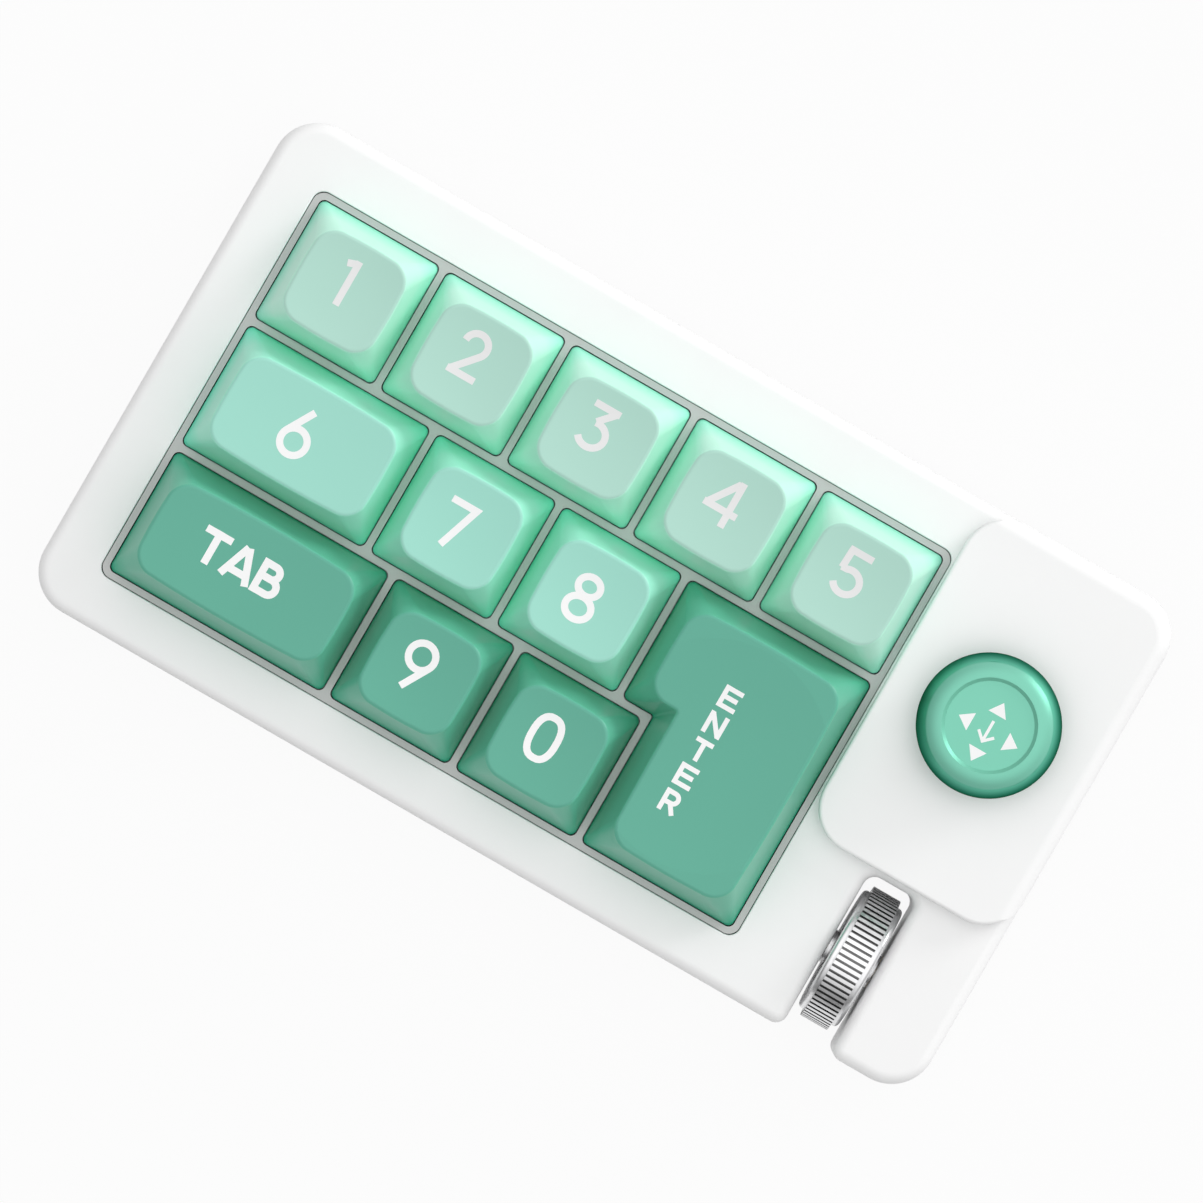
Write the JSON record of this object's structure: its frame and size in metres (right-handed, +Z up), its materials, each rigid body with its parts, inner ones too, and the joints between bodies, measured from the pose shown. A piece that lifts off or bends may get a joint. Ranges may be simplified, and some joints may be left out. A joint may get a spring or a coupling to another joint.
{
  "type": "gaming keypad",
  "caption": "Compact white gaming keypad with mint-green number keys, a joystick on a raised deck and a chrome roller",
  "frame": {"origin": "middle of the case in plan, on the plane the feet stand on", "axes": "x along the length to the roller's side, y towards the back with the cable socket, z up"},
  "size_m": [0.1342, 0.073, 0.0289],
  "materials": {
    "shell_white": "fine satin moulded texture",
    "cap_pale": "satin moulded keycap",
    "cap_light": "satin moulded keycap",
    "cap_green": "satin moulded keycap",
    "knob_mint": "smooth moulded knob",
    "lattice_grey": "matt moulded lattice",
    "switch_black": "moulded nylon",
    "stem_green": "smooth low-friction plastic",
    "roller_chrome": "polished plating",
    "steel": "plain steel",
    "brass": "plain brass",
    "board_green": "solder-mask coated board",
    "plate_grey": "anodised sheet",
    "foot_rubber": "soft matt rubber"
  },
  "bodies": {
    "root": {"top_case": "shell_white", "bottom_case": "shell_white", "rubber_feet": "foot_rubber", "case_screws": "steel", "key_grid": "lattice_grey", "switch_plate": "plate_grey", "main_board": "board_green", "board_chips": "switch_black", "port_shell": "steel", "port_tongue": "switch_black", "switch_lower_housings": "switch_black", "switch_upper_housings": "switch_black", "switch_springs": "steel", "switch_sockets": "switch_black", "switch_pins": "brass", "stabiliser_housings": "switch_black", "roller_bushes": "brass", "encoder_body": "switch_black", "joystick_box": "switch_black", "centring_spring": "steel", "push_switch": "switch_black", "direction_contacts": "brass"},
    "key_1": {"keycap_1": "cap_pale", "stem_1": "stem_green"},
    "key_2": {"keycap_2": "cap_pale", "stem_2": "stem_green"},
    "key_3": {"keycap_3": "cap_pale", "stem_3": "stem_green"},
    "key_4": {"keycap_4": "cap_pale", "stem_4": "stem_green"},
    "key_5": {"keycap_5": "cap_pale", "stem_5": "stem_green"},
    "key_6": {"keycap_6": "cap_light", "stem_6": "stem_green"},
    "key_7": {"keycap_7": "cap_light", "stem_7": "stem_green"},
    "key_8": {"keycap_8": "cap_light", "stem_8": "stem_green"},
    "key_tab": {"keycap_tab": "cap_green", "stem_tab": "stem_green"},
    "key_9": {"keycap_9": "cap_green", "stem_9": "stem_green"},
    "key_0": {"keycap_0": "cap_green", "stem_0": "stem_green"},
    "key_enter": {"keycap_enter": "cap_green", "stem_enter": "stem_green", "stabiliser_inserts": "stem_green"},
    "enter_wire": {"stabiliser_wire": "steel"},
    "roller": {"roller_wheel": "roller_chrome", "roller_axle": "steel", "encoder_rotor": "stem_green"},
    "joystick_ring": {"gimbal_ring": "switch_black"},
    "joystick_stick": {"joystick_stick": "switch_black", "joystick_dome": "knob_mint"},
    "joystick_knob": {"joystick_knob": "knob_mint", "joystick_plunger": "steel"}
  },
  "joints": [
    {"name": "key_1_press", "type": "slide", "parent": "root", "child": "key_1", "axis": [0, 0, -1], "range_m": [0, 0.0036], "stiffness_N_per_m": 75, "springref_m": -0.004, "deforming": ["switch_springs"]},
    {"name": "key_2_press", "type": "slide", "parent": "root", "child": "key_2", "axis": [0, 0, -1], "range_m": [0, 0.0036], "stiffness_N_per_m": 75, "springref_m": -0.004, "deforming": ["switch_springs"]},
    {"name": "key_3_press", "type": "slide", "parent": "root", "child": "key_3", "axis": [0, 0, -1], "range_m": [0, 0.0036], "stiffness_N_per_m": 75, "springref_m": -0.004, "deforming": ["switch_springs"]},
    {"name": "key_4_press", "type": "slide", "parent": "root", "child": "key_4", "axis": [0, 0, -1], "range_m": [0, 0.0036], "stiffness_N_per_m": 75, "springref_m": -0.004, "deforming": ["switch_springs"]},
    {"name": "key_5_press", "type": "slide", "parent": "root", "child": "key_5", "axis": [0, 0, -1], "range_m": [0, 0.0036], "stiffness_N_per_m": 75, "springref_m": -0.004, "deforming": ["switch_springs"]},
    {"name": "key_6_press", "type": "slide", "parent": "root", "child": "key_6", "axis": [0, 0, -1], "range_m": [0, 0.0036], "stiffness_N_per_m": 75, "springref_m": -0.004, "deforming": ["switch_springs"]},
    {"name": "key_7_press", "type": "slide", "parent": "root", "child": "key_7", "axis": [0, 0, -1], "range_m": [0, 0.0036], "stiffness_N_per_m": 75, "springref_m": -0.004, "deforming": ["switch_springs"]},
    {"name": "key_8_press", "type": "slide", "parent": "root", "child": "key_8", "axis": [0, 0, -1], "range_m": [0, 0.0036], "stiffness_N_per_m": 75, "springref_m": -0.004, "deforming": ["switch_springs"]},
    {"name": "key_tab_press", "type": "slide", "parent": "root", "child": "key_tab", "axis": [0, 0, -1], "range_m": [0, 0.0036], "stiffness_N_per_m": 75, "springref_m": -0.004, "deforming": ["switch_springs"]},
    {"name": "key_9_press", "type": "slide", "parent": "root", "child": "key_9", "axis": [0, 0, -1], "range_m": [0, 0.0036], "stiffness_N_per_m": 75, "springref_m": -0.004, "deforming": ["switch_springs"]},
    {"name": "key_0_press", "type": "slide", "parent": "root", "child": "key_0", "axis": [0, 0, -1], "range_m": [0, 0.0036], "stiffness_N_per_m": 75, "springref_m": -0.004, "deforming": ["switch_springs"]},
    {"name": "key_enter_press", "type": "slide", "parent": "root", "child": "key_enter", "axis": [0, 0, -1], "range_m": [0, 0.0036], "stiffness_N_per_m": 75, "springref_m": -0.004, "deforming": ["switch_springs"]},
    {"name": "enter_wire_swing", "type": "hinge", "parent": "root", "child": "enter_wire", "pos_m": [0.03284, -0.01008, 0.0106], "axis": [0, -1, 0], "range_deg": [0, 23.62]},
    {"name": "roller_spin", "type": "hinge", "parent": "root", "child": "roller", "pos_m": [0.05135, -0.02423, 0.0125], "axis": [1, 0, 0], "continuous": true},
    {"name": "joystick_front_back", "type": "hinge", "parent": "root", "child": "joystick_ring", "pos_m": [0.05135, 0.01128, 0.016], "axis": [1, 0, 0], "range_deg": [-10, 10], "stiffness_Nm_per_rad": 0.03, "deforming": ["centring_spring"]},
    {"name": "joystick_left_right", "type": "hinge", "parent": "joystick_ring", "child": "joystick_stick", "pos_m": [0.05135, 0.01128, 0.016], "axis": [0, 1, 0], "range_deg": [-10, 10], "stiffness_Nm_per_rad": 0.03, "deforming": ["centring_spring"]},
    {"name": "joystick_press", "type": "slide", "parent": "joystick_stick", "child": "joystick_knob", "axis": [0, 0, -1], "range_m": [0, 0.0008], "stiffness_N_per_m": 300, "springref_m": -0.002}
  ],
  "couplings": [
    {"joint": "enter_wire_swing", "follows": "key_enter_press", "rad_per_m": 114.44}
  ]
}
